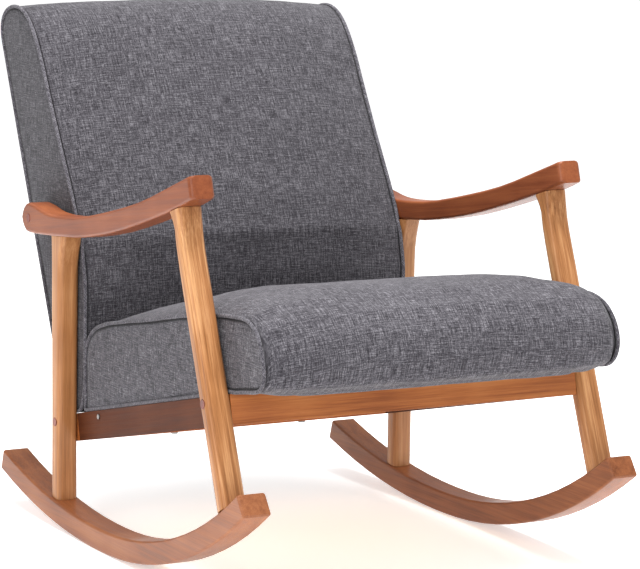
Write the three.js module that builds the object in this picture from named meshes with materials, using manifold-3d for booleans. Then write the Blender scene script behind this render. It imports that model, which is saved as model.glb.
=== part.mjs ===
// Upholstered rocking chair: two curved runners, four legs, two armrests, a bolted seat frame,
// a framed and padded back, and a padded seat cushion.
//
// Units are millimetres.  +Z is up, the chair faces -Y, and X runs across it.
// Side profiles are lists of [y, z] pairs measured from the point where the runners touch the
// floor; the whole chair is moved along Y at the end so that its outline is centred.

import * as THREE from 'three';
import { mergeVertices } from 'three/addons/utils/BufferGeometryUtils.js';
import Module from 'manifold-3d';

const wasm = await Module();
wasm.setup();

// ---------------------------------------------------------------- driving dimensions

const overallWidth = 680;
const gap = 0.3;                      // clearance between neighbouring pieces

const runner = { width: 46, depth: 36, edge: 4, frontRadius: 805, rearRadius: 1324 };
const runnerReach = { front: 450, rear: 428 };   // along Y, from where the two radii meet
const restTilt = THREE.MathUtils.degToRad(2.1);  // how far back the chair settles from the drawn pose
const floorFacet = 36;                // length of the flat facet under the balance point
const arm = { width: 40, edge: 5, noseEdge: 9 };
const frontLeg = { width: 40, edge: 10 };
const rearLeg = { width: 36, edge: 9 };
const rail = { height: 45, thickness: 22, boltRise: 34 };
const railSlope = Math.atan(0.19);  // the seat frame drops towards the back
const railBase = [0, 187];            // a point on the rails' lower line
const frontRailFace = -349;         // along the slope, from railBase
const rearRailFace = 224.5;
const seatPanelThickness = 12;
const padHalfWidth = 297;
const seatCrown = 34;
const seatFlare = { amount: 7, from: 345, to: 400 };   // the seat widens in front of the front legs
const seatFullness = { rear: 2.6, front: 9, from: -40, to: 340 };   // boxier towards the front
const backFullness = 3;
const backCrown = 26;
const backRecline = THREE.MathUtils.degToRad(22.2);
const backHeel = [252, 185.5];        // lower rear corner of the padded back
const bolt = { radius: 3, headRadius: 6.5, headLength: 5 };
const plug = { radius: 7, length: 4, proud: 0.6 };
const dowelRadius = 5;
const railScrew = { along: 119, rise: 35, headRadius: 4, headLength: 1.9, shankRadius: 2, shankLength: 15 };
const boardThickness = 18;

const outerX = overallWidth / 2;
const runnerX = outerX - runner.width / 2;
const frontLegX = outerX - frontLeg.width / 2;
const rearLegX = runnerX - 1;
const armX = outerX - arm.width / 2;
const frontLegInnerX = frontLegX - frontLeg.width / 2;
const rearLegInnerX = rearLegX - rearLeg.width / 2;
const rearLegOuterX = rearLegX + rearLeg.width / 2;

// Edge pairs, from one end of a bar to the other, as [y, z] of the front or upper edge and of the
// rear or lower edge.
const frontLegRibs = [
  [[-402, 110], [-373, 109]],
  [[-356, 243], [-326, 242]],
  [[-292, 427], [-262, 426]],
  [[-265, 503], [-237, 503]],
  [[-258, 533], [-231, 530]],
  [[-254, 558], [-215, 553]],
  [[-251, 575], [-199, 570]],
];
const rearLegRibs = [
  [[207, 37], [237, 36]],
  [[202, 199], [233, 198]],
  [[193, 402], [228, 401]],
  [[189, 443], [227, 442]],
  [[181, 471], [227, 472]],
  [[172, 496], [228, 495]],
];
const armRibs = [
  [[-283, 610], [-292, 576]],
  [[-223, 592], [-226, 555]],
  [[-121, 562], [-121, 528]],
  [[-15, 540], [-15, 505]],
  [[96, 522], [96, 489]],
  [[182, 517], [182, 484]],
  [[234, 519], [234, 482]],
  [[271, 526], [271, 481]],
  [[300, 530], [300, 481]],
];
const armHeadCentre = [300, 505];

// Side outlines of the padding at its two side seams, with how far each point is pushed out of
// the outline in the middle of the chair, as a share of the crown.
const seatOutline = [
  [-353, 302, 0], [-394, 308, 0.1], [-425, 312, 0.3], [-440, 323, 0.5], [-444, 346, 0.65],
  [-434, 371, 0.75], [-413, 392, 0.85], [-380, 403, 0.95], [-334, 405, 1], [-265, 402, 1],
  [-167, 391, 1], [-64, 374, 1], [7, 364, 1], [81, 353, 1], [131, 341, 0.9], [153, 329, 0.6],
  [169, 310, 0.2], [175, 291, 0], [175, 245, 0], [174, 203, 0],
];
const backOutline = [
  [180, 240, 0], [177, 331, 0], [175, 407, 0.2], [188, 473, 0.8], [223, 543, 1], [264, 614, 1],
  [305, 689, 1], [341, 759, 1], [365, 797, 0.95], [385, 820, 0.85], [405, 835, 0.7], [428, 844, 0.5],
  [450, 846, 0.4], [473, 843, 0.3], [490, 835, 0.2], [501, 822, 0.1],
];

// ---------------------------------------------------------------- materials

function wood(color, roughness) {
  return new THREE.MeshStandardMaterial({ color, roughness, metalness: 0 });
}

const honeyWood = wood(0xb87642, 0.42);
const redWood = wood(0xa9653a, 0.4);
const railWood = wood(0xa05f33, 0.45);
const plainWood = wood(0xc9a57a, 0.7);
const plugWood = wood(0x7a3524, 0.4);
const fabric = new THREE.MeshStandardMaterial({ color: 0x69686d, roughness: 0.95, metalness: 0 });
const steel = new THREE.MeshStandardMaterial({ color: 0xb9bcc0, roughness: 0.3, metalness: 1 });

// ---------------------------------------------------------------- solid helpers

function toManifold(geometry) {
  const plain = geometry.clone();
  plain.deleteAttribute('normal');
  plain.deleteAttribute('uv');
  const merged = mergeVertices(plain, 1e-4);
  return new wasm.Manifold(new wasm.Mesh({
    numProp: 3,
    vertProperties: Float32Array.from(merged.attributes.position.array),
    triVerts: Uint32Array.from(merged.index.array),
  }));
}

function toGeometry(solid) {
  const mesh = solid.getMesh();
  const geometry = new THREE.BufferGeometry();
  geometry.setAttribute('position', new THREE.BufferAttribute(Float32Array.from(mesh.vertProperties), 3));
  geometry.setIndex(new THREE.BufferAttribute(Uint32Array.from(mesh.triVerts), 1));
  return geometry;
}

function signedVolume(points, triangles) {
  let volume = 0;
  for (const [a, b, c] of triangles) {
    volume += points[a].dot(new THREE.Vector3().crossVectors(points[b], points[c]));
  }
  return volume / 6;
}

// Closed solid through a row of rings that all have the same number of points.
function loft(rings) {
  const count = rings[0].length;
  const points = rings.flat().map((p) => new THREE.Vector3(...p));
  const triangles = [];
  for (let r = 0; r < rings.length - 1; r += 1) {
    for (let i = 0; i < count; i += 1) {
      const j = (i + 1) % count;
      const a = r * count + i;
      const b = r * count + j;
      triangles.push([a, b, b + count], [a, b + count, a + count]);
    }
  }
  addCap(points, triangles, 0, count, true);
  addCap(points, triangles, (rings.length - 1) * count, count, false);
  if (signedVolume(points, triangles) < 0) {
    triangles.forEach((t) => t.reverse());
  }
  const geometry = new THREE.BufferGeometry();
  geometry.setAttribute('position', new THREE.Float32BufferAttribute(points.flatMap((p) => p.toArray()), 3));
  geometry.setIndex(triangles.flat());
  return toManifold(geometry);
}

function addCap(points, triangles, first, count, flip) {
  const centre = new THREE.Vector3();
  for (let i = 0; i < count; i += 1) {
    centre.add(points[first + i]);
  }
  centre.divideScalar(count);
  const hub = points.push(centre) - 1;
  for (let i = 0; i < count; i += 1) {
    const a = first + i;
    const b = first + ((i + 1) % count);
    triangles.push(flip ? [hub, b, a] : [hub, a, b]);
  }
}

// Outline of a rectangle with rounded corners, as [across, along] offsets from its middle.
function roundedRectangle(width, depth, radius, cornerSteps) {
  const outline = [];
  const corners = [[1, 1, 0], [-1, 1, 90], [-1, -1, 180], [1, -1, 270]];
  for (const [sx, sy, start] of corners) {
    for (let k = 0; k <= cornerSteps; k += 1) {
      const angle = THREE.MathUtils.degToRad(start + (90 * k) / cornerSteps);
      outline.push([
        sx * (width / 2 - radius) + radius * Math.cos(angle),
        sy * (depth / 2 - radius) + radius * Math.sin(angle),
      ]);
    }
  }
  return outline;
}

// Bar with a rounded-rectangle section.  Each rib gives the two edges of the bar in the side view;
// a rib may carry its own width and edge rounding, as [front, rear, width, edge].
function ribbedBar(midX, width, edge, ribs, cornerSteps = 3) {
  return loft(ribs.map(([front, rear, ribWidth = width, ribEdge = edge]) => {
    const mid = [(front[0] + rear[0]) / 2, (front[1] + rear[1]) / 2];
    const depth = Math.hypot(front[0] - rear[0], front[1] - rear[1]);
    const out = [(front[0] - rear[0]) / depth, (front[1] - rear[1]) / depth];
    return roundedRectangle(ribWidth, depth, ribEdge, cornerSteps)
      .map(([across, along]) => [midX + across, mid[0] + along * out[0], mid[1] + along * out[1]]);
  }));
}

// Ribs spaced evenly along smooth curves through the given ones.
function smoothRibs(ribs, count) {
  const curves = [0, 1].map((edge) => new THREE.SplineCurve(
    ribs.map((rib) => new THREE.Vector2(...rib[edge])),
  ));
  return Array.from({ length: count }, (_, i) => curves.map((c) => c.getPoint(i / (count - 1)).toArray()));
}

// Adds a smaller end rib beyond the last one, so that the end's edges come out rounded.
function roundedTip(rib, outward, width, edge, inset) {
  const [front, rear] = rib;
  const depth = Math.hypot(front[0] - rear[0], front[1] - rear[1]);
  const shrink = inset / depth;
  const moved = (p, q) => [0, 1].map((k) => p[k] + (q[k] - p[k]) * shrink + outward[k] * inset);
  return [moved(front, rear), moved(rear, front), width - 2 * inset, Math.max(edge - inset, 0.8)];
}

// Prism with the given [y, z] outline between two X positions.
function sidePrism(outline, xFrom, xTo) {
  return loft([xFrom, xTo].map((x) => outline.map(([y, z]) => [x, y, z])));
}

function rod(from, to, radius, sides = 16) {
  const start = new THREE.Vector3(...from);
  const end = new THREE.Vector3(...to);
  const up = new THREE.Vector3(0, 0, 1);
  const turn = new THREE.Quaternion().setFromUnitVectors(up, end.clone().sub(start).normalize());
  const ring = (centre) => Array.from({ length: sides }, (_, i) => {
    const angle = (2 * Math.PI * (i + 0.5)) / sides;
    const offset = new THREE.Vector3(radius * Math.cos(angle), radius * Math.sin(angle), 0);
    return offset.applyQuaternion(turn).add(centre).toArray();
  });
  return loft([ring(start), ring(end)]);
}

function without(solid, tools) {
  return tools.reduce((left, tool) => left.subtract(tool), solid);
}

// ---------------------------------------------------------------- part under construction

const chair = new THREE.Group();
chair.name = 'rocking_chair';

function addPiece(name, solid, material) {
  const mesh = new THREE.Mesh(toGeometry(solid), material);
  mesh.name = name;
  chair.add(mesh);
}

// Calls build(side, sign) for the sitter's left (+X) and right (-X) side of the chair.
function bothSides(build) {
  build('left', 1);
  build('right', -1);
}

// ---------------------------------------------------------------- runners

// Point on the runner at a signed angle (negative towards the front) and a height above its
// lower curve.
function runnerPoint(turn, lift) {
  const radius = turn < 0 ? runner.frontRadius : runner.rearRadius;
  return [(radius - lift) * Math.sin(turn), radius - (radius - lift) * Math.cos(turn)];
}

function evenSteps(from, to, steps) {
  return Array.from({ length: steps + 1 }, (_, i) => from + ((to - from) * i) / steps);
}

// One facet of the runner is centred on the balance point and lies flat on the floor at rest.
function runnerTurns() {
  const halfFacet = Math.asin(floorFacet / 2 / runner.rearRadius);
  const frontEnd = -Math.asin(runnerReach.front / runner.frontRadius);
  const rearEnd = Math.asin(runnerReach.rear / runner.rearRadius);
  return [
    ...evenSteps(frontEnd, 0, 12),
    restTilt - halfFacet,
    ...evenSteps(restTilt + halfFacet, rearEnd, 8),
  ];
}

function runnerRibs(lowLift, highLift) {
  return runnerTurns().map((turn) => [runnerPoint(turn, highLift), runnerPoint(turn, lowLift)]);
}

function runnerBar(midX) {
  const ribs = runnerRibs(0, runner.depth);
  const inset = 2.5;
  const direction = (turn, sign) => [sign * Math.cos(turn), sign * Math.sin(turn)];
  const turns = runnerTurns();
  const first = roundedTip(ribs[0], direction(turns[0], -1), runner.width, runner.edge, inset);
  const last = roundedTip(ribs.at(-1), direction(turns.at(-1), 1), runner.width, runner.edge, inset);
  return ribbedBar(midX, runner.width, runner.edge, [first, ...ribs, last]);
}

// Everything at and below the runner's top, used to cut the feet of the legs to its curve.
function belowRunnerTop(midX) {
  return ribbedBar(midX, runner.width + 20, 1, runnerRibs(-30, runner.depth + gap), 1);
}

// ---------------------------------------------------------------- armrests

// Ribs over the front end of the armrest, whose upright edges are rounded along a quarter circle.
function noseRibs(rib) {
  const forward = [-0.97, 0.24];
  const reach = 4;                    // the end face stands this far in front of the first rib
  return [90, 60, 30, 0].map((degrees) => {
    const angle = THREE.MathUtils.degToRad(degrees);
    const shift = reach - arm.noseEdge * (1 - Math.sin(angle));
    const moved = rib.map((p) => [0, 1].map((k) => p[k] + forward[k] * shift));
    const narrowing = arm.noseEdge * (1 - Math.cos(angle));
    return [...moved, arm.width - 2 * narrowing, degrees === 90 ? 2 : arm.edge];
  });
}

function armBar(midX) {
  const ribs = smoothRibs(armRibs, 20);
  const nose = noseRibs(ribs.shift());
  const headRadius = armRibs.at(-1)[0][1] - armHeadCentre[1];
  const head = [25, 45, 62, 76, 86].map((degrees) => {
    const angle = THREE.MathUtils.degToRad(degrees);
    const y = armHeadCentre[0] + headRadius * Math.sin(angle);
    const half = headRadius * Math.cos(angle);
    return [
      [y, armHeadCentre[1] + half],
      [y, armHeadCentre[1] - half],
      arm.width,
      Math.min(arm.edge, half * 0.9),
    ];
  });
  return ribbedBar(midX, arm.width, arm.edge, [...nose, ...ribs, ...head]);
}

// Everything at and above the armrest's underside, used to cut the tops of the legs.
function aboveArmUnderside(midX) {
  const ribs = smoothRibs(armRibs, 20).map(([top, bottom]) => [
    [top[0], top[1] + 60],
    [bottom[0], bottom[1] - gap],
  ]);
  return ribbedBar(midX, arm.width + 20, 1, ribs, 1);
}

// ---------------------------------------------------------------- joints between wood pieces

function seatFramePoint(along, rise) {
  return [
    railBase[0] + along * Math.cos(railSlope) + rise * Math.sin(railSlope),
    railBase[1] - along * Math.sin(railSlope) + rise * Math.cos(railSlope),
  ];
}

const frontRailMid = frontRailFace + rail.thickness / 2;
const rearRailMid = rearRailFace - rail.thickness / 2;

// Each leg is dowelled to its runner and to its armrest: the middle of the joint, the dowel's
// direction there, and how far it reaches down and up.
const runnerDowels = [
  { name: 'front_foot_dowel', x: frontLegX, at: [-381, 139.5], along: [0.33, 0.944], down: 19, up: 25 },
  { name: 'rear_foot_dowel', x: rearLegX, at: [220.5, 55], along: [-0.02, 1], down: 19, up: 25 },
];
const armDowels = [
  { name: 'front_arm_dowel', x: frontLegX, at: [-232, 557], along: [0.29, 0.957], down: 25, up: 17 },
  { name: 'rear_arm_dowel', x: rearLegX, at: [200, 482], along: [0, 1], down: 25, up: 17 },
];
const legDowels = [...runnerDowels, ...armDowels];

function dowelRod({ x, at, along, down, up }, sign, clearance) {
  const end = (reach) => [sign * x, at[0] + along[0] * reach, at[1] + along[1] * reach];
  return rod(end(-down - clearance), end(up + clearance), dowelRadius + clearance, 12);
}

// Bolts run across the chair through a leg or armrest into the piece inside it.
const frontBoltAt = seatFramePoint(frontRailMid, rail.boltRise);
const rearBoltAt = seatFramePoint(rearRailMid, rail.boltRise);
const crossBolts = [
  { name: 'front_leg', outer: outerX, at: frontBoltAt, tip: 256, nut: 266 },
  { name: 'rear_leg', outer: rearLegOuterX, at: rearBoltAt, tip: 254, nut: 264 },
  { name: 'arm', outer: outerX, at: armHeadCentre, tip: 262 },
];

function crossRod({ at }, sign, xFrom, xTo, radius) {
  return rod([sign * xFrom, ...at], [sign * xTo, ...at], radius);
}

function boltHeadX(spec) {
  return spec.outer - plug.length + plug.proud - gap;
}

function boltSolid(spec, sign) {
  const headX = boltHeadX(spec);
  const head = crossRod(spec, sign, headX, headX - bolt.headLength, bolt.headRadius);
  return head.add(crossRod(spec, sign, headX - bolt.headLength + 0.5, spec.tip, bolt.radius));
}

function plugSolid(spec, sign) {
  return crossRod(spec, sign, spec.outer + plug.proud, boltHeadX(spec) + gap, plug.radius);
}

function boltHoles(spec, sign) {
  const floorX = boltHeadX(spec) - bolt.headLength - gap;
  return [
    crossRod(spec, sign, spec.outer + 5, floorX, plug.radius + gap),
    crossRod(spec, sign, spec.outer, spec.tip - 1, bolt.radius + gap),
  ];
}

// Barrel nuts lie inside the front and rear rails, square to the bolts.
function nutRod(spec, sign, clearance, openEnd) {
  const mid = spec.name === 'front_leg' ? frontRailMid : rearRailMid;
  const inward = spec.name === 'front_leg' ? 1 : -1;
  const end = (reach) => [sign * spec.nut, ...seatFramePoint(mid + inward * reach, rail.boltRise)];
  return rod(end(-7 - clearance), end(openEnd ? rail.thickness : 7), 5 + clearance);
}

// ---------------------------------------------------------------- legs, runners and armrests

function addSideFrame(side, sign) {
  const dowelHoles = (list) => list.map((spec) => dowelRod(spec, sign, gap));
  const [frontBolt, rearBolt, armBolt] = crossBolts;
  const underArm = aboveArmUnderside(sign * armX);
  const overRunner = belowRunnerTop(sign * runnerX);

  const frontPost = ribbedBar(sign * frontLegX, frontLeg.width, frontLeg.edge, smoothRibs(frontLegRibs, 15));
  const rearPost = ribbedBar(sign * rearLegX, rearLeg.width, rearLeg.edge, smoothRibs(rearLegRibs, 13));
  const legCuts = [underArm, overRunner, ...dowelHoles(legDowels)];

  addPiece(`runner_${side}`, without(runnerBar(sign * runnerX), dowelHoles(runnerDowels)), redWood);
  addPiece(`front_leg_${side}`, without(frontPost, [...legCuts, ...boltHoles(frontBolt, sign)]), honeyWood);
  addPiece(`rear_leg_${side}`, without(rearPost, [...legCuts, ...boltHoles(rearBolt, sign)]), honeyWood);
  addPiece(
    `armrest_${side}`,
    without(armBar(sign * armX), [...dowelHoles(armDowels), ...boltHoles(armBolt, sign)]),
    redWood,
  );
  for (const spec of legDowels) {
    addPiece(`${spec.name}_${side}`, dowelRod(spec, sign, 0), plainWood);
  }
}

function addBolts(side, sign) {
  for (const spec of crossBolts) {
    addPiece(`${spec.name}_bolt_${side}`, boltSolid(spec, sign), steel);
    addPiece(`${spec.name}_plug_${side}`, plugSolid(spec, sign), plugWood);
    if (spec.nut) {
      const nut = nutRod(spec, sign, 0, false);
      addPiece(`${spec.name}_nut_${side}`, without(nut, boltHoles(spec, sign)), steel);
    }
  }
}

// ---------------------------------------------------------------- seat frame

function railOutline(alongFrom, alongTo, riseFrom, riseTo) {
  return [
    seatFramePoint(alongFrom, riseFrom),
    seatFramePoint(alongTo, riseFrom),
    seatFramePoint(alongTo, riseTo),
    seatFramePoint(alongFrom, riseTo),
  ];
}

const sideRailFrom = frontRailFace + rail.thickness + gap;
const sideRailTo = rearRailFace - rail.thickness - gap;
const sideRailOuterX = rearLegInnerX - gap;
const sideRailInnerX = sideRailOuterX - rail.thickness;

function railDowel(sign, along, clearance) {
  const x = sign * (sideRailOuterX - rail.thickness / 2);
  const end = (reach) => [x, ...seatFramePoint(along + reach, rail.height / 2 - 8)];
  return rod(end(-15 - clearance), end(15 + clearance), 4 + clearance, 12);
}

function railDowels(sign, clearance) {
  return [sideRailFrom - gap / 2, sideRailTo + gap / 2].map((along) => railDowel(sign, along, clearance));
}

// Round-headed screw standing in the outer face of a side rail.
function railScrewSolid(sign, clearance) {
  const at = seatFramePoint(railScrew.along, railScrew.rise);
  const span = (reachFrom, reachTo, radius) => rod(
    [sign * (sideRailOuterX + reachFrom), ...at],
    [sign * (sideRailOuterX + reachTo), ...at],
    radius,
  );
  const shank = span(-railScrew.shankLength - clearance, gap + 0.5, railScrew.shankRadius + clearance);
  return clearance ? shank : shank.add(span(gap, gap + railScrew.headLength, railScrew.headRadius));
}

function addCrossRail(name, innerAlong, outerAlong, halfLength, spec, moreCuts = []) {
  const [from, to] = [Math.min(innerAlong, outerAlong), Math.max(innerAlong, outerAlong)];
  const cuts = [1, -1].flatMap((sign) => [
    ...railDowels(sign, gap),
    ...boltHoles(spec, sign),
    nutRod(spec, sign, gap, true),
  ]);
  const bar = sidePrism(railOutline(from, to, 0, rail.height), -halfLength, halfLength);
  addPiece(name, without(bar, [...cuts, ...moreCuts]), railWood);
}

function addCornerBlocks(side, sign) {
  const size = 52;
  const [low, high] = [4, rail.height - seatPanelThickness - 2 * gap];
  const corners = { front: [sideRailFrom, 1], rear: [sideRailTo, -1] };
  for (const [end, [along, inward]] of Object.entries(corners)) {
    const near = along + inward * gap;
    const far = near + inward * size;
    const ring = (rise) => [
      [sign * (sideRailInnerX - gap), ...seatFramePoint(near, rise)],
      [sign * (sideRailInnerX - gap), ...seatFramePoint(far, rise)],
      [sign * (sideRailInnerX - gap - 8), ...seatFramePoint(far, rise)],
      [sign * (sideRailInnerX - gap - size), ...seatFramePoint(near + inward * 8, rise)],
      [sign * (sideRailInnerX - gap - size), ...seatFramePoint(near, rise)],
    ];
    addPiece(`corner_block_${end}_${side}`, loft([ring(low), ring(high)]), plainWood);
  }
}

function addSeatFrame() {
  const backBoltHoles = [1, -1].map((sign) => backBolt(sign, gap));
  const frontInner = frontRailFace + rail.thickness;
  const rearInner = rearRailFace - rail.thickness;
  addCrossRail('front_rail', frontInner, frontRailFace, frontLegInnerX - gap, crossBolts[0]);
  addCrossRail('rear_rail', rearInner, rearRailFace, rearLegInnerX - gap, crossBolts[1], backBoltHoles);
  bothSides((side, sign) => {
    const outline = railOutline(sideRailFrom, sideRailTo, 0, rail.height);
    const bar = sidePrism(outline, sign * sideRailInnerX, sign * sideRailOuterX);
    const holes = [...railDowels(sign, gap), railScrewSolid(sign, gap)];
    addPiece(`side_rail_${side}`, without(bar, holes), railWood);
    addPiece(`rail_screw_${side}`, railScrewSolid(sign, 0), steel);
    railDowels(sign, 0).forEach((solid, i) => {
      addPiece(`rail_dowel_${['front', 'rear'][i]}_${side}`, solid, plainWood);
    });
    addCornerBlocks(side, sign);
  });
  const panelOutline = railOutline(
    sideRailFrom + gap,
    sideRailTo - gap,
    rail.height - seatPanelThickness,
    rail.height,
  );
  const panelHalf = sideRailInnerX - gap;
  addPiece('seat_panel', sidePrism(panelOutline, -panelHalf, panelHalf), plainWood);
}

// ---------------------------------------------------------------- padding

// Padding lofted across the chair: the outline at the side seams swells by the crown in between.
// The higher the fullness, the closer to the side seams the swelling stays; the flare widens it.
function crownedPad(outline, crown, fullness, flare = () => 0) {
  const shares = [-1, -0.985, -0.94, -0.85, -0.7, -0.5, -0.25, 0, 0.25, 0.5, 0.7, 0.85, 0.94, 0.985, 1];
  return loft(shares.map((share) => {
    return outline.map(([y, z, weight = 0], i) => {
      const swell = crown * (1 - Math.abs(share) ** fullness(y));
      const before = outline.at(i - 1);
      const after = outline[(i + 1) % outline.length];
      const length = Math.hypot(after[0] - before[0], after[1] - before[1]);
      const push = (swell * weight) / length;
      const [dy, dz] = [(after[1] - before[1]) * push, -(after[0] - before[0]) * push];
      return [share * (padHalfWidth + flare(y)), y - dy, z - dz];
    });
  }));
}

function addSeatCushion() {
  const underside = [
    seatFramePoint(sideRailTo - 24, rail.height + gap),
    seatFramePoint(frontRailFace, rail.height + gap),
  ];
  const { smoothstep, lerp } = THREE.MathUtils;
  const flare = (y) => seatFlare.amount * smoothstep(-y, seatFlare.from, seatFlare.to);
  const { rear, front, from, to } = seatFullness;
  const fullness = (y) => lerp(rear, front, smoothstep(-y, from, to));
  const pad = crownedPad([...seatOutline, ...underside], seatCrown, fullness, flare);
  const besideLegs = [[-seatFlare.from, 150], [300, 150], [300, 500], [-seatFlare.from, 500]];
  const legRoom = [1, -1].map((sign) => sidePrism(besideLegs, sign * (padHalfWidth + gap), sign * outerX));
  addPiece('seat_cushion', without(pad, legRoom), fabric);
}

// Point in the padded back: distance up its rear face, and distance in from that face.
function backPoint(up, inward) {
  const [sin, cos] = [Math.sin(backRecline), Math.cos(backRecline)];
  return [backHeel[0] + up * sin - inward * cos, backHeel[1] + up * cos + inward * sin];
}

function backBlock(upFrom, upTo, inFrom, inTo, xFrom, xTo) {
  const outline = [
    backPoint(upFrom, inFrom),
    backPoint(upTo, inFrom),
    backPoint(upTo, inTo),
    backPoint(upFrom, inTo),
  ];
  return sidePrism(outline, xFrom, xTo);
}

const backBox = { bottom: 96, top: 624, rear: 4, front: 98, halfWidth: 280 };
const rearCover = { bottom: 14, top: 660, halfWidth: 287, thickness: 2 };

function backBolt(sign, clearance) {
  const [y] = seatFramePoint(rearRailMid, rail.height / 2);
  const [, zFrom] = seatFramePoint(rearRailMid, 0);
  const head = rod(
    [sign * 120, y, zFrom - 2.4 - 5 * Math.sign(clearance)],
    [sign * 120, y, zFrom + 3 + clearance],
    6 + clearance,
    16,
  );
  const shankTop = zFrom + 131 + clearance;
  return head.add(rod([sign * 120, y, zFrom + 2], [sign * 120, y, shankTop], 3 + clearance, 12));
}

function addBack() {
  const armBoltHoles = [1, -1].flatMap((sign) => boltHoles(crossBolts[2], sign));
  const backBoltHoles = [1, -1].map((sign) => backBolt(sign, gap));
  const { bottom, top, rear, front, halfWidth } = backBox;
  const pocketFront = front + 6 + 2 * gap;
  const pocketHalf = halfWidth + gap;
  const pocket = backBlock(bottom - gap, top + gap, -5, pocketFront, -pocketHalf, pocketHalf);
  const coverSeat = backBlock(
    rearCover.bottom - gap,
    rearCover.top + gap,
    -5,
    rearCover.thickness + gap,
    -rearCover.halfWidth - gap,
    rearCover.halfWidth + gap,
  );
  const base = [backPoint(668, 0), backHeel, seatFramePoint(sideRailTo - 13, rail.height + gap)];
  const pad = crownedPad([...backOutline, ...base], backCrown, () => backFullness);
  addPiece('back_cushion', without(pad, [pocket, coverSeat, ...armBoltHoles, ...backBoltHoles]), fabric);

  const inner = halfWidth - boardThickness;
  bothSides((side, sign) => {
    const board = backBlock(bottom, top, rear, front, sign * inner, sign * halfWidth);
    addPiece(`back_side_board_${side}`, without(board, armBoltHoles), plainWood);
  });
  const crossFrom = -inner + gap;
  const crossTo = inner - gap;
  addPiece(
    'back_bottom_board',
    without(backBlock(bottom, bottom + boardThickness, rear, front, crossFrom, crossTo), backBoltHoles),
    plainWood,
  );
  const topBoard = backBlock(top - boardThickness, top, rear, front, crossFrom, crossTo);
  addPiece('back_top_board', topBoard, plainWood);
  addPiece(
    'back_front_panel',
    backBlock(bottom, top, front + gap, front + gap + 6, -halfWidth, halfWidth),
    plainWood,
  );
  addPiece(
    'back_rear_cover',
    backBlock(
      rearCover.bottom,
      rearCover.top,
      0,
      rearCover.thickness,
      -rearCover.halfWidth,
      rearCover.halfWidth,
    ),
    fabric,
  );
  bothSides((side, sign) => addPiece(`back_bolt_${side}`, backBolt(sign, 0), steel));
}

// ---------------------------------------------------------------- assembly

bothSides(addSideFrame);
bothSides(addBolts);
addSeatFrame();
addSeatCushion();
addBack();

// Tip the chair back to its rest pose, centre its outline and stand the flat facets on Z = 0.
chair.children.forEach((mesh) => mesh.geometry.rotateX(-restTilt));
const outline = new THREE.Box3().setFromObject(chair);
for (const mesh of chair.children) {
  mesh.geometry.translate(0, -(outline.min.y + outline.max.y) / 2, -outline.min.z);
}

export default chair;
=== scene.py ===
"""Finished look of the upholstered rocking chair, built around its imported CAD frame.

Units are metres.  +Z is up, the chair faces -Y and +X is the sitter's left.
"""

import math

import bmesh
import bpy
import numpy as np
from mathutils import Matrix, Vector, noise
from mathutils.bvhtree import BVHTree
from mathutils.kdtree import KDTree


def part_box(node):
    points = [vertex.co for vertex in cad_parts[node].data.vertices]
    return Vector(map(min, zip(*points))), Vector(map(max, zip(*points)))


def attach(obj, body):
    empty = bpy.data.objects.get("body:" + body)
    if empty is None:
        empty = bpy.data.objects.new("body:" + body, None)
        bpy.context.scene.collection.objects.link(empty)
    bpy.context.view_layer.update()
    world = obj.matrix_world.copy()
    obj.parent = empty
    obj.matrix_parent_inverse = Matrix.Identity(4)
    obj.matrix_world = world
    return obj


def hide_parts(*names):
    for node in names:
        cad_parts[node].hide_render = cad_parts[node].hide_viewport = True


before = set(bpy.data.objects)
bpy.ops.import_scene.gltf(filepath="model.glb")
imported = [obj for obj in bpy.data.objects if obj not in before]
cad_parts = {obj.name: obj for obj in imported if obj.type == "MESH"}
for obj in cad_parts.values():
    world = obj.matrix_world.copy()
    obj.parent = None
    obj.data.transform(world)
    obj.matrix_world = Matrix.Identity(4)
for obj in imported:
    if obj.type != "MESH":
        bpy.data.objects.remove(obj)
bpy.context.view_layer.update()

# ---------------------------------------------------------------- settings

mm = 0.001
pad_spacing = 7 * mm              # between the points of the padding meshes
outline_rays = 900                # rays that find one outline of a padded solid
rim_points = 400                  # points on the outline that gives the length round a seam
seat_rows = 15                    # mesh steps up the rear and front of the seat's side panels
back_rows = 92                    # and along the long edges of the back's side panels
side_smoothing = outline_rays // 60   # rays each way that the padding's width is averaged over
panel_margin = 8 * mm             # rays that find the side panels pass this far inside the outline
side_margin = 0.2 * mm            # the outermost outline lies this far inside the side panel
seam_notch = 1.4 * mm             # how far the side seams are pulled into the padding
seam_shoulder = 4 * mm            # the padding rises again this far from a seam
pad_shrink = 2.5 * mm             # the padding starts this much inside its final surface
pad_swell_limit = 7 * mm          # and may swell by this much
pad_slack = 0.5 * mm              # how far inside the CAD surface the padding may end up
pad_fullness = 4 * mm             # and how far outside, before the unevenness is added
pad_clearance = 0.4 * mm          # left free on each side of a gap between two pieces
side_slack = 0.3 * mm             # how far sideways a point may end up past the CAD surface
flush_width = 6 * mm              # nearer to a seam the padding is held inside the CAD surface
flush_depth = 0.4 * mm            # by this much at most
fullness_rise = 0.3               # further in, the padding may rise this steeply
swell_frames = 20
large_lumps = (90 * mm, 1.2 * mm)    # size and height of the unevenness of the stuffing
small_lumps = (35 * mm, 0.5 * mm)
piping_waver = (50 * mm, 0.5 * mm)   # the same for the cords
clearing_rounds = 3               # times that a cord is smoothed and moved clear
beads_per_step = 8                # closeness of the points that stand for a seam
piping_radius = 3.0 * mm
piping_inset = 0.4 * mm           # the cord's middle lies this far inside the side panel
piping_lift = 0.8 * mm            # and this far outside the band, where nothing is in the way
painted_crease_shade_start = 1.4 * mm           # painted shade in the crease beside the cord is darkest this far from its edge
painted_crease_shade_width = 3.6 * mm           # and gone this far from it
wood_edge = 0.6 * mm              # how far the edges are eased
rail_edge = 1.4 * mm
plug_edge = 0.4 * mm
panel_edge = 0.9 * mm
linen_tint = (1.0, -1.8, 4.4)     # red, green and blue of the dye, above or below its grey
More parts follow.
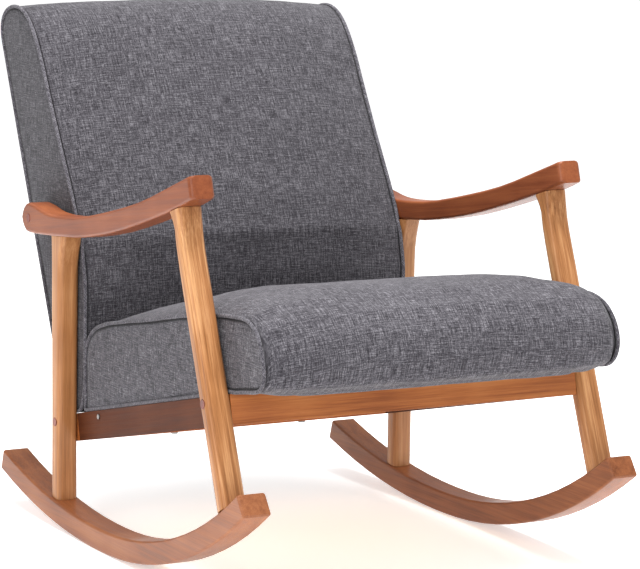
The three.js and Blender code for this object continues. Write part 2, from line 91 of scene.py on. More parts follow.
weave_shifts = {"side": 3, "cord": 7, "rear": 11}   # keep the pattern from repeating, in metres
weave_map = "weave"               # UV map in metres, along and across the cloth
seam_map = "seam_distance"        # how far each point of the padding is from the nearest seam, which sets the painted crease shade

view_azimuth = math.radians(-29.33)
view_elevation = math.radians(8.21)
view_roll = math.radians(1.03)
view_target = Vector((0.0387, -0.0209, 0.4044))
view_distance = 4.448
view_lens = 155.9                 # millimetres, as is the sensor's width
view_sensor = 36


def linear(red, green, blue):
    """Scene-linear colour of an 8-bit screen colour, with alpha."""
    def channel(value):
        share = value / 255
        return share / 12.92 if share <= 0.04045 else ((share + 0.055) / 1.055) ** 2.4
    return (channel(red), channel(green), channel(blue), 1.0)


# ---------------------------------------------------------------- shader building

class Shader:
    """One material under construction; the methods add nodes and return output sockets."""

    def __init__(self, name):
        self.material = bpy.data.materials.new(name)
        self.material.use_nodes = True
        self.tree = self.material.node_tree
        self.tree.nodes.clear()

    def node(self, kind, inputs=(), **settings):
        made = self.tree.nodes.new(kind)
        for key, value in settings.items():
            setattr(made, key, value)
        for key, value in dict(inputs).items():
            if isinstance(value, bpy.types.NodeSocket):
                self.tree.links.new(value, made.inputs[key])
            else:
                made.inputs[key].default_value = value
        return made

    def math(self, operation, first, second=0.0):
        return self.node("ShaderNodeMath", {0: first, 1: second}, operation=operation).outputs[0]

    def stretched(self, vector, scale, turn=(0, 0, 0)):
        """The vector turned, then scaled along each axis."""
        turned = self.node("ShaderNodeMapping", {"Vector": vector, "Rotation": turn}).outputs[0]
        return self.node("ShaderNodeMapping", {"Vector": turned, "Scale": scale}).outputs[0]

    def noise(self, vector, detail=2.0, roughness=0.5, scale=1.0):
        inputs = {"Vector": vector, "Scale": scale, "Detail": detail, "Roughness": roughness}
        return self.node("ShaderNodeTexNoise", inputs).outputs["Fac"]

    def ranged(self, value, low, high, to_low=0.0, to_high=1.0):
        """The value moved from one range to another, and held inside it."""
        inputs = {0: value, 1: low, 2: high, 3: to_low, 4: to_high}
        return self.node("ShaderNodeMapRange", inputs, clamp=True).outputs[0]

    def weighted(self, terms, base=0.5):
        """base plus the sum of weight x (value - 0.5)."""
        total = base
        for value, weight in terms:
            part = self.node(
                "ShaderNodeMath", {0: value, 1: weight, 2: -0.5 * weight}, operation="MULTIPLY_ADD"
            ).outputs[0]
            total = self.math("ADD", part, total)
        return total

    def ramp(self, value, stops):
        made = self.node("ShaderNodeValToRGB", {"Fac": value})
        elements = made.color_ramp.elements
        while len(elements) < len(stops):
            elements.new(0.5)
        for element, (position, color) in zip(elements, stops):
            element.position = position
            element.color = color
        return made.outputs["Color"]

    def mix(self, factor, first, second):
        made = self.node("ShaderNodeMix", data_type="RGBA")
        for key, value in ((0, factor), (6, first), (7, second)):
            if isinstance(value, bpy.types.NodeSocket):
                self.tree.links.new(value, made.inputs[key])
            else:
                made.inputs[key].default_value = value
        return made.outputs[2]

    def bump(self, height, distance, strength=1.0):
        inputs = {"Height": height, "Distance": distance, "Strength": strength}
        return self.node("ShaderNodeBump", inputs).outputs[0]

    def finish(self, **inputs):
        """Ends the material in one principled shader; inputs are its sockets in small letters."""
        named = {
            key.replace("_", " ").title().replace("Ior", "IOR"): value for key, value in inputs.items()
        }
        shader = self.node("ShaderNodeBsdfPrincipled", named)
        self.node("ShaderNodeOutputMaterial", {"Surface": shader.outputs[0]})
        return self.material


# ---------------------------------------------------------------- wood, metal and fabric

def wood_material(name, dark, middle, light, grain_turn=(0, 0, 0), gloss=0.5, contrast=1.0):
    """Stained and lacquered wood whose grain runs along Z before grain_turn."""
    s = Shader(name)
    place = s.node("ShaderNodeTexCoord").outputs["Object"]
    back = tuple(-angle for angle in grain_turn)
    bands = s.noise(s.stretched(place, (55, 55, 2.6), back), 3, 0.55)
    fibres = s.noise(s.stretched(place, (620, 620, 14), back), 3, 0.6)
    streaks = s.noise(s.stretched(place, (210, 210, 5), back), 2, 0.5)
    blotches = s.noise(place, 2, 0.5, 7)
    pores = s.noise(s.stretched(place, (1500, 1500, 55), back), 1, 0.5)
    open_pores = s.ranged(pores, 0.60, 0.72)
    figure = s.weighted([
        (bands, 1.1 * contrast),
        (fibres, 0.9 * contrast),
        (streaks, 0.9 * contrast),
        (blotches, 0.6),
    ])
    stain = s.ramp(figure, [(0.12, dark), (0.5, middle), (0.9, light)])
    color = s.mix(s.math("MULTIPLY", open_pores, 0.45 * contrast), stain, dark)
    height = s.math("SUBTRACT", fibres, open_pores)
    return s.finish(
        base_color=color,
        roughness=s.ranged(streaks, 0.3, 0.7, 0.5 - 0.2 * gloss, 0.62 - 0.2 * gloss),
        normal=s.bump(height, 0.12 * mm, 0.6),
        coat_weight=0.4 * gloss,
        coat_roughness=0.16,
        specular_ior_level=0.12 + 0.25 * gloss,
    )


def linen_material(name, painted_light_level=1.0):
    """Melange linen-look upholstery: light and dark slubs along both threads of a plain weave."""
    s = Shader(name)
    cloth = s.node("ShaderNodeUVMap", uv_map=weave_map).outputs[0]
    place = s.node("ShaderNodeTexCoord").outputs["Object"]
    wander = s.node("ShaderNodeTexNoise", {"Vector": cloth, "Scale": 14.0, "Detail": 1.0})
    jitter = s.node(
        "ShaderNodeVectorMath", {0: wander.outputs["Color"], 1: (0.0022,) * 3}, operation="MULTIPLY"
    ).outputs[0]
    threads = s.node("ShaderNodeVectorMath", {0: cloth, 1: jitter}, operation="ADD").outputs[0]
    weft = s.noise(s.stretched(threads, (38, 560, 1)), 2, 0.5)
    warp = s.noise(s.stretched(threads, (560, 38, 1)), 2, 0.5)
    weft_slubs = s.noise(s.stretched(threads, (150, 800, 1)), 1, 0.5)
    warp_slubs = s.noise(s.stretched(threads, (800, 150, 1)), 1, 0.5)
    grain = s.noise(threads, 1, 0.5, 700)
    clouds = s.noise(place, 2, 0.5, 9)
    figure = s.weighted([
        (weft, 1.2),
        (warp, 1.3),
        (weft_slubs, 0.8),
        (warp_slubs, 0.8),
        (grain, 1.05),
        (clouds, 0.2),
    ])

    # A tone of the dye at a level, scaled by this copy's level of painted light and shade.
    def tone_with_painted_light(level):
        return linear(*[(level + shift) * painted_light_level for shift in linen_tint])

    color = s.ramp(figure, [(0.0, tone_with_painted_light(34)), (0.42, tone_with_painted_light(74)), (0.6, tone_with_painted_light(92)), (1.0, tone_with_painted_light(140))])
    # Painted shade in the creases beside the cords: nearer a seam, the cloth is mixed towards a near-black
    # tone of its dye.
    seam = s.node("ShaderNodeAttribute", attribute_name=seam_map).outputs["Fac"]
    cord_edge = piping_inset + piping_radius
    shadow = s.ranged(seam, cord_edge + painted_crease_shade_start, cord_edge + painted_crease_shade_width, 0.95, 0.0)
    return s.finish(
        base_color=s.mix(shadow, color, tone_with_painted_light(12)),
        roughness=0.92,
        specular_ior_level=0.2,
        sheen_weight=0.12,
        sheen_roughness=0.45,
        normal=s.bump(figure, 0.5 * mm, 0.8),
    )


def metal_material(name, tone, roughness):
    """Plated steel with fine turning marks and a slightly uneven shine."""
    s = Shader(name)
    place = s.node("ShaderNodeTexCoord").outputs["Object"]
    marks = s.noise(s.stretched(place, (300, 3000, 3000)), 2, 0.5)
    dulled = s.noise(place, 3, 0.6, 150)
    color = s.mix(s.ranged(dulled, 0.35, 0.75, 0.0, 0.5), tone, linear(120, 118, 114))
    return s.finish(
        base_color=color,
        metallic=1.0,
        roughness=s.ranged(marks, 0.3, 0.7, roughness - 0.06, roughness + 0.1),
        normal=s.bump(marks, 0.03 * mm, 0.5),
    )


def floor_material():
    s = Shader("studio_floor")
    place = s.node("ShaderNodeTexCoord").outputs["Object"]
    haze = s.noise(place, 2, 0.5, 0.8)
    color = s.ramp(haze, [(0.3, linear(250, 250, 250)), (0.7, linear(252, 252, 252))])
    return s.finish(
        base_color=color,
        roughness=0.75,
        specular_ior_level=0.2,
        emission_color=(1, 1, 1, 1),
        emission_strength=0.5,
    )


# ---------------------------------------------------------------- meshes

def new_piece(name, points, faces, material, weave=None, smooth=True):
    """Mesh object in the row frame; weave is one UV pair for each face corner."""
    mesh = bpy.data.meshes.new(name)
    mesh.from_pydata([tuple(p) for p in points], [], faces)
    if smooth:
        mesh.shade_smooth()
    if weave is not None:
        layer = mesh.uv_layers.new(name=weave_map)
        layer.data.foreach_set("uv", np.asarray(weave, dtype=np.float32).ravel())
    mesh.materials.append(material)
    piece = bpy.data.objects.new(name, mesh)
    bpy.context.scene.collection.objects.link(piece)
    return piece


def settle(piece, slot, *nodes):
    """Hides the CAD nodes that the piece replaces, and makes the piece ride with the chair. slot is not
    used.
    """
    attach(piece, "root")
    if nodes:
        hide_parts(*nodes)
    return piece


def both(name):
    return [f"{name}_left", f"{name}_right"]


def frame_pieces():
    """The wooden CAD nodes that the padding lies against."""
    pairs = [node for name in ("side_rail", "front_leg", "rear_leg", "armrest") for node in both(name)]
    return ["front_rail", "rear_rail", *pairs]


def cad_mesh(node):
    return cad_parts[node].data


def finished_copy(node, suffix, material, edge, sharp=38):
    """Copy of a CAD node with its flat faces made whole, its sharp edges eased and its curves smooth."""
    build = bmesh.new()
    build.from_mesh(cad_mesh(node))
    bmesh.ops.remove_doubles(build, verts=build.verts, dist=0.01 * mm)
    bmesh.ops.dissolve_limit(
        build, angle_limit=math.radians(0.4), verts=build.verts, edges=build.edges
    )
    crisp = [e for e in build.edges if e.is_manifold and e.calc_face_angle() > math.radians(sharp)]
    bmesh.ops.bevel(
        build, geom=crisp, offset=edge, segments=2, profile=0.5, affect="EDGES", clamp_overlap=True
    )
    mesh = bpy.data.meshes.new(f"{node}_{suffix}")
    build.to_mesh(mesh)
    build.free()
    mesh.shade_smooth()
    mesh.materials.append(material)
    piece = bpy.data.objects.new(mesh.name, mesh)
    bpy.context.scene.collection.objects.link(piece)
    even = piece.modifiers.new("even_shading", "WEIGHTED_NORMAL")
    even.weight = 100
    return piece


def bake_modifiers(piece):
    """Replaces a piece's mesh by what its modifiers make of it."""
    state = bpy.context.evaluated_depsgraph_get()
    mesh = bpy.data.meshes.new_from_object(
        piece.evaluated_get(state), preserve_all_data_layers=True, depsgraph=state
    )
    piece.modifiers.clear()
    piece.data = mesh


# ---------------------------------------------------------------- padding

def surface_of(*nodes):
    """Search tree over the faces of some CAD nodes."""
    points = []
    faces = []
    for node in nodes:
        mesh = cad_mesh(node)
        first = len(points)
        points.extend(v.co.copy() for v in mesh.vertices)
        faces.extend([first + i for i in face.vertices] for face in mesh.polygons)
    return BVHTree.FromPolygons(points, faces)


def evenly_spaced(loop, count):
    """count points spaced evenly round a closed loop, starting where the loop starts."""
    closed = np.vstack([loop, loop[:1]])
    steps = np.linalg.norm(np.diff(closed, axis=0), axis=1)
    travelled = np.concatenate([[0], np.cumsum(steps)])
    wanted = np.linspace(0, travelled[-1], count, endpoint=False)
    return np.column_stack([np.interp(wanted, travelled, closed[:, k]) for k in range(loop.shape[1])])


def rim_angles(start):
    return [start + 2 * math.pi * k / outline_rays for k in range(outline_rays)]


def outer_points(surface, places, centre, start):
    """Where rays towards the middle meet the outer skin; places gives the X of each ray.

    A ray that passes beside the skin is moved in until it meets it, and its point moved back out.
    """
    narrowest = 0.9
    tries = 21
    found = []
    for x, angle in zip(places, rim_angles(start)):
        outward = Vector((0, math.cos(angle), math.sin(angle)))
        for share in np.linspace(1, narrowest, tries):
            hit = surface.ray_cast(Vector((x * share, *centre)) + outward, -outward)[0]
            if hit is not None:
                break
        found.append(Vector((x, hit.y, hit.z)))
    return found


def side_reaches(surface, centre, start):
    """How far the padding reaches sideways at each ray round its outline."""
    sideways = Vector((-1, 0, 0))
    middle = surface.ray_cast(Vector((1, *centre)), sideways)[0]
    rim = outer_points(surface, [middle.x - panel_margin] * outline_rays, centre, start)
    reaches = []
    for point in rim:
        inward = Vector((0, centre[0] - point.y, centre[1] - point.z)).normalized()
        beside = point + inward * panel_margin
        reaches.append(surface.ray_cast(Vector((1, beside.y, beside.z)), sideways)[0].x)
    return smoothed(np.array(reaches), side_smoothing)


def lower_rear_corner(surface, centre):
    """Angle from the centre to the lower rear corner of the outline."""
    rim = outer_points(surface, [0.0] * outline_rays, centre, 0.0)
    corner = max(rim, key=lambda point: point.y - point.z)
    return math.atan2(corner.z - centre[1], corner.y - centre[0])


def smoothed(values, reach):
    """Running average round a closed loop."""
    return sum(np.roll(values, k, axis=0) for k in range(-reach, reach + 1)) / (2 * reach + 1)


def outline_at(surface, share, reaches, centre, start, count):
    """Outer outline of a padded solid at a share of its half width, from the start angle round."""
    points = outer_points(surface, share * reaches, centre, start)
    return evenly_spaced(np.array([tuple(p) for p in points]), count)


def patched(ring, rows, columns):
    """Grid of points that fills a ring, whose four sides have rows and columns of steps in turn."""
    count = len(ring)
    left = ring[: rows + 1]
    top = ring[rows : rows + columns + 1]
    right = ring[[2 * rows + columns - i for i in range(rows + 1)]]
    bottom = ring[[(count - j) % count for j in range(columns + 1)]]
    u = np.linspace(0, 1, columns + 1)[None, :, None]
    v = np.linspace(0, 1, rows + 1)[:, None, None]
    across = (1 - u) * left[:, None] + u * right[:, None]
    along = (1 - v) * bottom[None] + v * top[None]
    corners = (1 - u) * ((1 - v) * left[0] + v * left[-1]) + u * ((1 - v) * right[0] + v * right[-1])
    return across + along - corners


class Pad:
    """Closed quad mesh of one padded piece: a band across the chair and a panel at each side."""

    def __init__(self, nodes, centre, rows, extra=None):
        surface = surface_of(*nodes)
        start = lower_rear_corner(surface, centre)
        reaches = side_reaches(surface, centre, start) - side_margin
        half = reaches.min()
        rim = outline_at(surface, -1, reaches, centre, start, rim_points)
        length = np.linalg.norm(np.diff(np.vstack([rim, rim[:1]]), axis=0), axis=1).sum()
        self.rows = rows
        self.columns = round(length / pad_spacing / 2) - rows
        self.count = 2 * (self.rows + self.columns)
        self.step = length / self.count
        inner = 1 - seam_shoulder / half
        between = np.linspace(-inner, inner, 2 * round(half / pad_spacing))
        shares = [-1, *between, 1]
        self.rings = np.array([
            outline_at(surface, share, reaches, centre, start, self.count) for share in shares
        ])
        if extra:
            self.rings = np.array([
                ring + outward_of(ring) * np.array([[extra(*p)] for p in ring]) for ring in self.rings
            ])
        self.build()

    def build(self):
        rings, count = len(self.rings), self.count
        self.points = list(self.rings.reshape(-1, 3))
        self.faces = []
        self.weave = []
        for r in range(rings - 1):
            for i in range(count):
                j = (i + 1) % count
                self.faces.append([r * count + i, r * count + j, (r + 1) * count + j, (r + 1) * count + i])
                near, far = self.rings[r][i][0], self.rings[r + 1][i][0]
                self.weave += [
                    (near, i * self.step),
                    (near, (i + 1) * self.step),
                    (far, (i + 1) * self.step),
                    (far, i * self.step),
                ]
        self.seams = [list(range(count)), list(range((rings - 1) * count, rings * count))]
        self.add_side_panel(self.seams[0], False)
        self.add_side_panel(self.seams[1], True)

    def add_side_panel(self, seam, flip):
        grid = patched(np.array([self.points[i] for i in seam]), self.rows, self.columns)
        index = -np.ones(grid.shape[:2], dtype=int)
        for i in range(self.rows + 1):
            index[i, 0] = seam[i]
            index[i, -1] = seam[2 * self.rows + self.columns - i]
        for j in range(self.columns + 1):
            index[0, j] = seam[(self.count - j) % self.count]
            index[-1, j] = seam[self.rows + j]
        for i in range(1, self.rows):
            for j in range(1, self.columns):
                index[i, j] = len(self.points)
                self.points.append(grid[i, j])
        for i in range(self.rows):
            for j in range(self.columns):
                corners = [(i, j), (i, j + 1), (i + 1, j + 1), (i + 1, j)]
                if flip:
                    corners.reverse()
                self.faces.append([int(index[c]) for c in corners])
                self.weave += [(grid[c][1] + weave_shifts["side"], grid[c][2]) for c in corners]

    def seam_rings(self):
        return [self.rings[0], self.rings[-1]]

    def piping_path(self, side, neighbours):
        """Middle line of the cord on a side seam, moved clear of the neighbouring CAD pieces."""
        ring = self.rings[0 if side < 0 else -1]
        lift = piping_lift + np.array([[unevenness(p, *piping_waver)] for p in ring])
        path = ring + outward_of(ring) * lift - np.array([side * piping_inset, 0, 0])
        for _ in range(clearing_rounds):
            path = kept_clear(smoothed(path, 1), neighbours, piping_radius + pad_clearance)
        return path


def outward_of(ring):
    """Outward directions in the side view at the points of an outline."""
    along = np.roll(ring, -1, axis=0) - np.roll(ring, 1, axis=0)
    out = np.column_stack([np.zeros(len(ring)), along[:, 2], -along[:, 1]])
    return out / np.linalg.norm(out, axis=1)[:, None]


def kept_clear(path, neighbours, reach):
    """Moves the points that are inside a neighbouring piece, or nearer than reach to one, out to reach."""
    moved = []
    for point in path:
        place = Vector(point)
        near, normal, _, far = neighbours.find_nearest(place)
        away = (place - near).normalized()
        if away.dot(normal) < 0:
            place = near + normal * reach
        elif far < reach:
            place = near + away * reach
        moved.append(tuple(place))
    return np.array(moved)


def room_around(points, normals, neighbours):
    """How far each point may move outwards: half of the gap in front of it, less the clearance.

    A point that starts inside a neighbouring piece isn't limited by the surface that it has passed.
    """
    look_ahead = 2 * (pad_fullness + pad_clearance)
    room = np.full(len(points), look_ahead)
    for number, (point, normal) in enumerate(zip(points, normals)):
        hit, _, _, far = neighbours.ray_cast(Vector(point), Vector(normal), look_ahead)
        if hit is not None:
            room[number] = far / 2 - pad_clearance
    return room


def mesh_normals(piece):
    normals = np.zeros(len(piece.data.vertices) * 3)
    piece.data.vertices.foreach_get("normal", normals)
    return normals.reshape(-1, 3)


def mesh_points(piece):
    points = np.zeros(len(piece.data.vertices) * 3)
    piece.data.vertices.foreach_get("co", points)
    return points.reshape(-1, 3)


def move_points(piece, points):
    piece.data.vertices.foreach_set("co", points.ravel())
    piece.data.update()


def swell(piece, held, limit):
    """Blows the closed piece up as cloth over its stuffing, while the held points stay in place."""
    start = mesh_points(piece)
    group = piece.vertex_groups.new(name="held")
    group.add([int(i) for i in held], 1.0, "REPLACE")
    cloth = piece.modifiers.new("swell", "CLOTH")
    cloth.settings.quality = 5
    cloth.settings.mass = 0.3
    cloth.settings.tension_stiffness = 12
    cloth.settings.compression_stiffness = 12
    cloth.settings.shear_stiffness = 6
    cloth.settings.bending_stiffness = 0.8
    cloth.settings.use_pressure = True
    cloth.settings.uniform_pressure_force = 4
    cloth.settings.vertex_group_mass = "held"
    cloth.settings.effector_weights.gravity = 0
    cloth.collision_settings.use_collision = False
    for number in range(1, swell_frames + 1):
        bpy.context.scene.frame_set(number)
    bake_modifiers(piece)
    bpy.context.scene.frame_set(1)
    moved = mesh_points(piece) - start
    far = np.linalg.norm(moved, axis=1)[:, None]
    held_back = limit * np.tanh(far / limit) / np.maximum(far, 1e-9)
    move_points(piece, start + moved * held_back)
    piece.vertex_groups.clear()


def unevenness(point, size, amount):
    """Smooth pseudo-random offset at a point, up to amount, that varies over about size."""
    return amount * noise.noise(Vector(point) / size)


def tube(name, path, radius, material, sides=10):
    """Closed round cord along a closed path, with the weave running slantwise over it."""
    count = len(path)
    along = np.roll(path, -1, axis=0) - np.roll(path, 1, axis=0)
    along /= np.linalg.norm(along, axis=1)[:, None]
    side = np.tile([1.0, 0.0, 0.0], (count, 1))
    up = np.cross(along, side)
    points = []
    for k in range(sides):
        angle = 2 * math.pi * k / sides
        points.append(path + radius * (math.cos(angle) * side + math.sin(angle) * up))
    points = np.array(points).transpose(1, 0, 2).reshape(-1, 3)
    steps = np.linalg.norm(np.roll(path, -1, axis=0) - path, axis=1)
    travelled = np.concatenate([[0], np.cumsum(steps)])
    girth = 2 * math.pi * radius / sides
    shift = weave_shifts["cord"]
    faces = []
    weave = []
    for i in range(count):
        for k in range(sides):
            j, m = (i + 1) % count, (k + 1) % sides
            faces.append([i * sides + k, i * sides + m, j * sides + m, j * sides + k])
            for step, turn in ((i, k), (i, k + 1), (i + 1, k + 1), (i + 1, k)):
                weave.append((travelled[step] + turn * girth + shift, turn * girth - travelled[step]))
    return new_piece(name, points, faces, material, weave)


# ---------------------------------------------------------------- seat and back

def crease_seams(piece, seams):
    """Keeps the seams sharp under subdivision, and returns which points lie on one."""
    mesh = piece.data
    held = np.zeros(len(mesh.vertices), dtype=bool)
    held[[i for seam in seams for i in seam]] = True
    ends = np.zeros(2 * len(mesh.edges), dtype=int)
    mesh.edges.foreach_get("vertices", ends)
    on_seam = held[ends].reshape(-1, 2).all(axis=1)
    sharpness = mesh.attributes.new("crease_edge", "FLOAT", "EDGE")
    sharpness.data.foreach_set("value", on_seam.astype(np.float32))
    return held


def seam_distances(points, rings):
    """How far each point is from the nearest of some closed seams."""
    beads = np.vstack([evenly_spaced(np.array(ring), beads_per_step * len(ring)) for ring in rings])
    tree = KDTree(len(beads))
    for number, bead in enumerate(beads):
        tree.insert(bead, number)
    tree.balance()
    return np.array([tree.find(point)[2] for point in points])


def store_seam_distances(piece, distances):
    layer = piece.data.attributes.new(seam_map, "FLOAT", "POINT")
    layer.data.foreach_set("value", np.asarray(distances, dtype=np.float32))


def shrunk_points(pad, points, normals):
    """Where the cloth simulation starts: inside the CAD surface, with the seams pulled in."""
    shrunk = points - normals * pad_shrink
    for seam, side in zip(pad.seams, (-1, 1)):
        ring = points[seam]
        shrunk[seam] = ring - outward_of(ring) * seam_notch - np.array([side * seam_notch, 0, 0])
    return shrunk


def kept_near(pad, points, normals, swollen, neighbours):
    """The swollen points moved along the normals to where the padding may be.

    It is flush beside the seams, fuller further in, and takes at most half of a gap to a neighbour.
    """
    depth = ((swollen - points) * normals).sum(axis=1)
    distance = seam_distances(points, pad.seam_rings())
    fullest = np.clip((distance - flush_width) * fullness_rise, -flush_depth, pad_fullness)
    lumps = np.array([hand_made(p) for p in points])
    wanted = np.clip(depth, -pad_slack, fullest) + lumps
    wanted = np.minimum(wanted, room_around(points, normals, neighbours))
    kept = swollen + normals * (wanted - depth)[:, None]
    reach = np.abs(points[:, 0]) + side_slack
    kept[:, 0] = np.clip(kept[:, 0], -reach, reach)
    return kept


def make_pad(name, pad, material, slot, nodes, neighbours):
    """The padded piece: shrunk, blown up by cloth simulation, then kept near its CAD surface."""
    piece = new_piece(name, pad.points, pad.faces, material, pad.weave)
    bpy.context.view_layer.update()
    held = crease_seams(piece, pad.seams)
    points = mesh_points(piece)
    normals = mesh_normals(piece)
    move_points(piece, shrunk_points(pad, points, normals))
    swell(piece, np.flatnonzero(held), pad_swell_limit)
    swollen = mesh_points(piece)
    kept = kept_near(pad, points, normals, swollen, neighbours)
    kept[held] = swollen[held]
    move_points(piece, kept)
    finer = piece.modifiers.new("finer", "SUBSURF")
    finer.levels = finer.render_levels = 1
    bake_modifiers(piece)
    piece.data.shade_smooth()
    store_seam_distances(piece, seam_distances(mesh_points(piece), pad.seam_rings()))
    settle(piece, slot, *nodes)


def hand_made(point):
    """Slight unevenness of the stuffing at a point."""
    return unevenness(point, *large_lumps) + unevenness(point, *small_lumps)


def add_piping(name, pad, material, slot, neighbours):
    for label, side in (("left", 1), ("right", -1)):
        path = pad.piping_path(side, neighbours)
        cord = tube(f"{name}_piping_{label}", path, piping_radius, material)
        # A metre from any seam, so the cord gets no painted crease shade.
        store_seam_distances(cord, np.ones(len(cord.data.vertices)))
        settle(cord, slot)


def add_upholstery():
    # One cloth throughout: the three levels are painted light and shade, the cords lighter and the back
    # darker than the seat.
    cord_cloth = linen_material("piping_linen", 0.92)
    add_seat(linen_material("seat_linen", 0.84), cord_cloth)
    add_back(linen_material("back_linen", 0.735), cord_cloth)


def fuller_corner(low, high):
    """Extra stuffing at the sitter's left front corner, which makes the seat a little uneven.

    low and high are the corners of the seat's box; the result gives the extra height at a point.
    """
    corner = (low.y + 50 * mm, high.z - 25 * mm)
    fullest = 9 * mm
    size = 80 * mm
    starts = 180 * mm
    fades_over = 100 * mm

    def extra(x, y, z):
        across = min(max((x - starts) / fades_over, 0.0), 1.0)
        away = math.hypot(y - corner[0], z - corner[1])
        return fullest * across * math.exp(-(away / size) ** 2)

    return extra


def add_seat(cloth, cord_cloth):
    low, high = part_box("seat_cushion")
    drop = 10 * mm
    centre = ((low.y + high.y) / 2, (low.z + high.z) / 2 - drop)
    pad = Pad(["seat_cushion"], centre, seat_rows, fuller_corner(low, high))
    around = surface_of("back_cushion", "seat_panel", *frame_pieces())
    make_pad("seat_pad", pad, cloth, "seat_fabric", ["seat_cushion"], around)
    add_piping("seat", pad, cord_cloth, "seat_fabric", around)


def add_back(cloth, cord_cloth):
    low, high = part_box("back_cushion")
    centre = ((low.y + high.y) / 2, (low.z + high.z) / 2)
    pad = Pad(["back_cushion", "back_rear_cover"], centre, back_rows)
    around = surface_of("seat_cushion", *frame_pieces())
    make_pad("back_pad", pad, cloth, "back_fabric", ["back_cushion"], around)
    add_piping("back", pad, cord_cloth, "back_fabric", around)
    add_rear_panel(cloth)


def add_rear_panel(material):
    """Flat cloth-covered panel that closes the back of the backrest, a little proud of the padding."""
    panel = finished_copy("back_rear_cover", "panel", material, panel_edge)
    low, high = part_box("back_rear_cover")
    slope = math.atan2(high.y - low.y, high.z - low.z)
    proud = 2.5 * mm
    panel.data.transform(Matrix.Translation((0, proud * math.cos(slope), -proud * math.sin(slope))))
    layer = panel.data.uv_layers.new(name=weave_map)
    for loop in panel.data.loops:
        place = panel.data.vertices[loop.vertex_index].co
        layer.data[loop.index].uv = (place.x + weave_shifts["rear"], place.z / math.cos(slope))
    # A metre from any seam, so the panel gets no painted crease shade.
    store_seam_distances(panel, np.ones(len(panel.data.vertices)))
    settle(panel, "back_fabric", "back_rear_cover")


# ---------------------------------------------------------------- wood and metal pieces

def add_finished(nodes, material, slot, edge):
    for node in nodes:
        settle(finished_copy(node, "finished", material, edge), slot, node)


def lying(slope):
    """Grain turn of a piece that runs along the chair and rises by slope towards the back."""
    return (math.radians(90) + slope, 0, 0)


def slope_between(low_end, high_end):
    return math.atan2(high_end.z - low_end.z, high_end.y - low_end.y)


def add_legs():
    honey = [linear(112, 66, 30), linear(165, 111, 67), linear(206, 156, 108)]
    front_lean = math.radians(-21)
    for name, lean, contrast in (("front_leg", front_lean, 0.9), ("rear_leg", 0.0, 0.5)):
        stain = wood_material(f"{name}_wood", *honey, grain_turn=(lean, 0, 0), contrast=contrast)
        add_finished(both(name), stain, "honey_wood", wood_edge)


def add_runners():
    brown = [linear(86, 43, 20), linear(132, 77, 44), linear(160, 103, 65)]
    stain = wood_material("runner_wood", *brown, grain_turn=lying(0), gloss=0.4, contrast=0.5)
    add_finished(both("runner"), stain, "red_wood", wood_edge)


def add_armrests():
    red = [linear(84, 33, 12), linear(124, 65, 35), linear(152, 88, 50)]
    slope_share = -0.6            # the grain falls by this share of the armrest's rise
    slope = slope_share * slope_between(*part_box("armrest_left"))
    stain = wood_material("armrest_wood", *red, grain_turn=lying(slope), gloss=0.5, contrast=0.4)
    add_finished(both("armrest"), stain, "red_wood", wood_edge)


def add_cross_rails():
    amber = [linear(116, 56, 20), linear(168, 98, 48), linear(192, 124, 70)]
    across = (0, math.radians(90), 0)
    stain = wood_material("cross_rail_wood", *amber, grain_turn=across, gloss=0.6, contrast=0.6)
    add_finished(["front_rail", "rear_rail"], stain, "rail_wood", rail_edge)


def add_side_rails():
    # Much darker than the cross rails' stain: painted shade for the side rails' place under the seat.
    dark = [linear(48, 20, 8), linear(76, 38, 20), linear(94, 52, 30)]
    slope = slope_between(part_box("front_rail")[0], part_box("rear_rail")[0])
    stain = wood_material("side_rail_shaded_wood", *dark, grain_turn=lying(slope), gloss=0.0, contrast=0.5)
    add_finished(both("side_rail"), stain, "rail_wood", rail_edge)


def add_plugs():
    plum = [linear(70, 28, 20), linear(112, 50, 36), linear(136, 70, 50)]
    stain = wood_material("plug_wood", *plum, grain_turn=(0.3, 0, 0), gloss=0.6)
    for name in ("front_leg_plug", "rear_leg_plug", "arm_plug"):
        add_finished(both(name), stain, "plug_wood", plug_edge)


def add_woodwork():
    add_legs()
    add_runners()
    add_armrests()
    add_cross_rails()
    add_side_rails()
    add_plugs()


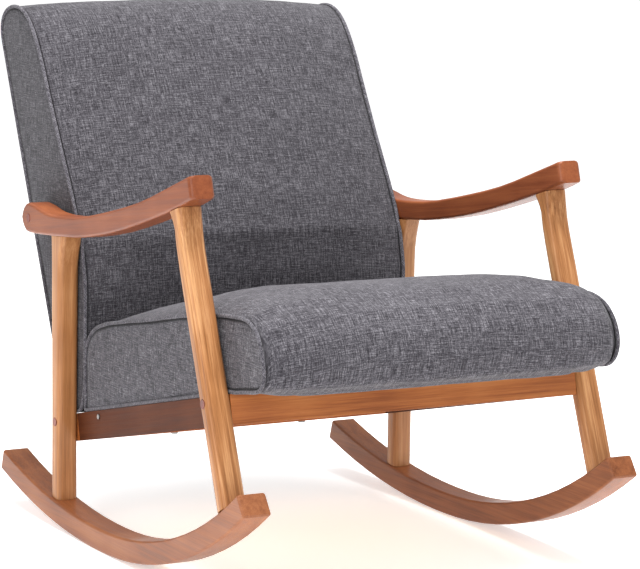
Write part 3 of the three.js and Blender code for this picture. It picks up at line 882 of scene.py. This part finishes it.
def dress_hidden_nodes():
    """Procedural materials for the CAD nodes that stay as they are."""
    pale = [linear(176, 134, 88), linear(206, 168, 120), linear(226, 194, 150)]
    plain = wood_material("plain_wood", *pale, grain_turn=(0.2, 0.1, 0), gloss=0.1)
    steel = metal_material("plated_steel", linear(150, 148, 146), 0.35)
    for name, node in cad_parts.items():
        if node.hide_render:
            continue
        metal = "bolt" in name or "nut" in name or "screw" in name
        node.data.materials.clear()
        node.data.materials.append(steel if metal else plain)


# ---------------------------------------------------------------- studio

def add_studio():
    reach = 40
    floor = new_piece(
        "studio_floor",
        [(-reach, -reach, 0), (reach, -reach, 0), (reach, reach, 0), (-reach, reach, 0)],
        [[0, 1, 2, 3]],
        floor_material(),
        smooth=False,
    )
    world = bpy.data.worlds.new("studio_air")
    world.use_nodes = True
    air = world.node_tree.nodes["Background"].inputs
    air["Color"].default_value = (1, 1, 1, 1)
    air["Strength"].default_value = 0.58
    bpy.context.scene.world = world
    bpy.context.scene.view_settings.view_transform = "Standard"
    add_softbox("key", place=(-2.6, -1.5, 1.5), size=1.5, power=26)
    add_softbox("top", place=(-0.1, -0.3, 3.2), size=2.4, power=210)


def add_softbox(name, place, size, power):
    """Square lamp that faces the middle of the chair; size in metres, power in watts."""
    light = bpy.data.lights.new(name, "AREA")
    light.size = size
    light.energy = power
    lamp = bpy.data.objects.new(name, light)
    bpy.context.scene.collection.objects.link(lamp)
    lamp.location = place
    chair_middle = Vector((0, 0, 0.45))
    towards = chair_middle - Vector(place)
    lamp.rotation_euler = towards.to_track_quat("-Z", "Y").to_euler()


def add_camera():
    data = bpy.data.cameras.new("camera")
    data.lens = view_lens
    data.sensor_width = view_sensor
    camera = bpy.data.objects.new("camera", data)
    bpy.context.scene.collection.objects.link(camera)
    back = Vector((
        math.sin(view_azimuth) * math.cos(view_elevation),
        -math.cos(view_azimuth) * math.cos(view_elevation),
        math.sin(view_elevation),
    ))
    level = (-back).to_track_quat("-Z", "Y").to_matrix().to_4x4()
    rolled = level @ Matrix.Rotation(view_roll, 4, "Z")
    camera.matrix_world = Matrix.Translation(view_target + back * view_distance) @ rolled
    bpy.context.scene.camera = camera


# ---------------------------------------------------------------- assembly

add_woodwork()
add_upholstery()
dress_hidden_nodes()
add_studio()
add_camera()
